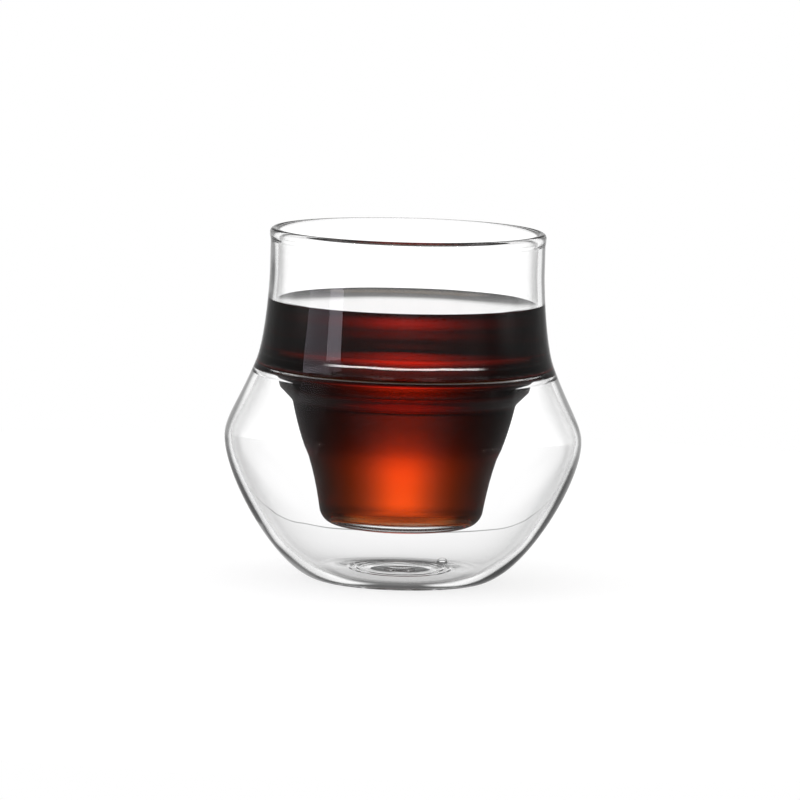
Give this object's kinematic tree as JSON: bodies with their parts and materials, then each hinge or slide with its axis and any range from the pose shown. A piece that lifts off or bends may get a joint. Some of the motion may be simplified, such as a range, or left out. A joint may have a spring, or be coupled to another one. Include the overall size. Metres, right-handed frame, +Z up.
{
  "type": "double walled glass cup",
  "caption": "Double walled clear glass cup: a straight bare collar, a rounded outer shell and a stepped inner bowl hanging in the sealed gap.",
  "frame": {"origin": "centre of the foot ring, on the table", "axes": "+Z up along the axis of the turned form, +Y away from the viewer of the picture, +X to the viewer's right"},
  "size_m": [0.0802, 0.0802, 0.079],
  "materials": {
    "blown_glass": "clear polished borosilicate glass",
    "fused_glass": "clear fused borosilicate glass",
    "brewed_coffee": "clear dark red brown liquid"
  },
  "bodies": {
    "root": {"inner_glass": "blown_glass", "outer_shell": "blown_glass", "shoulder_weld": "fused_glass", "vent_seal": "fused_glass"}
  },
  "joints": []
}
